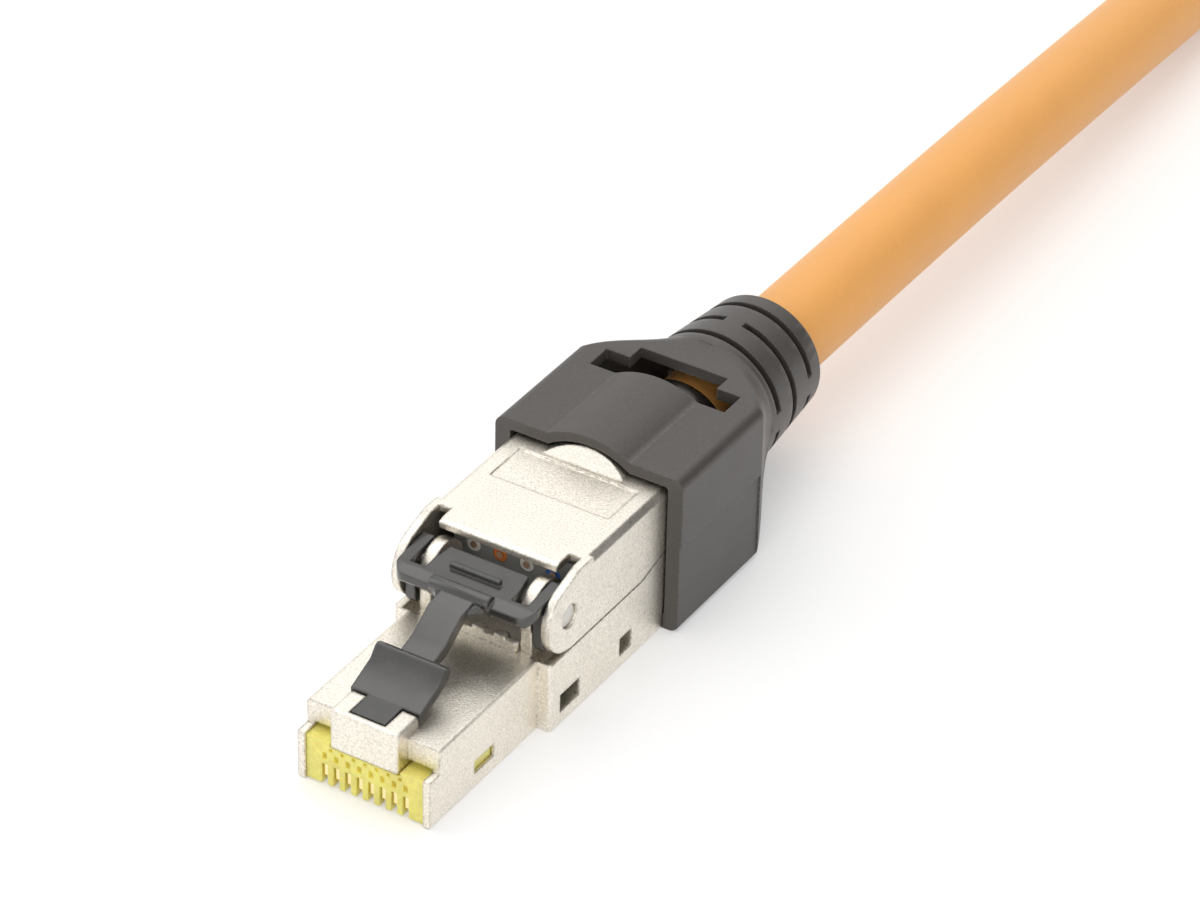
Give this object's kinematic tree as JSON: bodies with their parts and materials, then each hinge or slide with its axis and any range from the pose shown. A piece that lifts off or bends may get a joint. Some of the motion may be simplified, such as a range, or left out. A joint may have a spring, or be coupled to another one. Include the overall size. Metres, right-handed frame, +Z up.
{
  "type": "field termination ethernet plug",
  "caption": "Tool-free shielded network plug with a hinged lid, spring latch, contact nose and a hood with a slotted boot, on a short sample of installation cable.",
  "frame": {"origin": "middle of the plug's footprint, on its underside, the free cable left out", "axes": "+Y from the nose along the plug to the cable, +Z up from the contact side to the latch side, +X to the right as seen from the nose with the latch on top"},
  "size_m": [0.0168, 0.1464, 0.0151],
  "materials": {
    "die_cast": "satin nickel-plated die casting",
    "pin_steel": "plain steel",
    "latch_black": "semi-gloss black moulding",
    "contact_yellow": "translucent yellow moulding",
    "contact_gold": "gold-plated blade",
    "board_green": "green solder mask",
    "block_grey": "grey moulding",
    "terminal_tin": "tinned bronze",
    "wire_white": "white insulation",
    "wire_orange": "orange insulation",
    "wire_blue": "blue insulation",
    "wire_green": "green insulation",
    "wire_brown": "brown insulation",
    "core_copper": "bare copper",
    "foil_bright": "bright foil",
    "braid_tinned": "tinned copper braid",
    "clamp_steel": "bent sheet",
    "hood_charcoal": "finely textured charcoal moulding",
    "jacket_orange": "matte orange jacket"
  },
  "bodies": {
    "housing": {"lower_housing": "die_cast", "hinge_pin_left": "pin_steel", "hinge_pin_right": "pin_steel", "contact_block": "contact_yellow", "contact_1": "contact_gold", "contact_2": "contact_gold", "contact_3": "contact_gold", "contact_4": "contact_gold", "contact_5": "contact_gold", "contact_6": "contact_gold", "contact_7": "contact_gold", "contact_8": "contact_gold", "circuit_board": "board_green", "terminal_block": "block_grey", "wire_manager": "block_grey", "terminal_1": "terminal_tin", "terminal_2": "terminal_tin", "terminal_3": "terminal_tin", "terminal_4": "terminal_tin", "terminal_5": "terminal_tin", "terminal_6": "terminal_tin", "terminal_7": "terminal_tin", "terminal_8": "terminal_tin", "wire_1": "wire_white", "wire_2": "wire_orange", "wire_3": "wire_white", "wire_4": "wire_blue", "wire_5": "wire_white", "wire_6": "wire_green", "wire_7": "wire_white", "wire_8": "wire_brown", "core_1": "core_copper", "core_2": "core_copper", "core_3": "core_copper", "core_4": "core_copper", "core_5": "core_copper", "core_6": "core_copper", "core_7": "core_copper", "core_8": "core_copper", "pair_foil_1": "foil_bright", "pair_foil_2": "foil_bright", "pair_foil_3": "foil_bright", "pair_foil_4": "foil_bright", "braid": "braid_tinned", "cable_clamp": "clamp_steel", "cable": "jacket_orange", "cable_end_pairs": "foil_bright", "cable_end_cores": "core_copper"},
    "lid": {"lid": "die_cast"},
    "latch": {"latch": "latch_black"},
    "hood": {"hood": "hood_charcoal"}
  },
  "joints": [
    {"name": "latch_press", "type": "hinge", "parent": "housing", "child": "latch", "pos_m": [0, -0.027, 0.0072], "axis": [-1, 0, 0], "range_deg": [0, 4.5], "stiffness_Nm_per_rad": 0.6},
    {"name": "hood_slide", "type": "slide", "parent": "housing", "child": "hood", "axis": [0, 1, 0], "range_m": [0, 0.028]},
    {"name": "lid_hinge", "type": "hinge", "parent": "housing", "child": "lid", "pos_m": [0, -0.01155, 0.0094], "axis": [1, 0, 0], "range_deg": [0, 45.1]}
  ],
  "couplings": [
    {"joint": "lid_hinge", "follows": "hood_slide", "rad_per_m": 28.05}
  ]
}
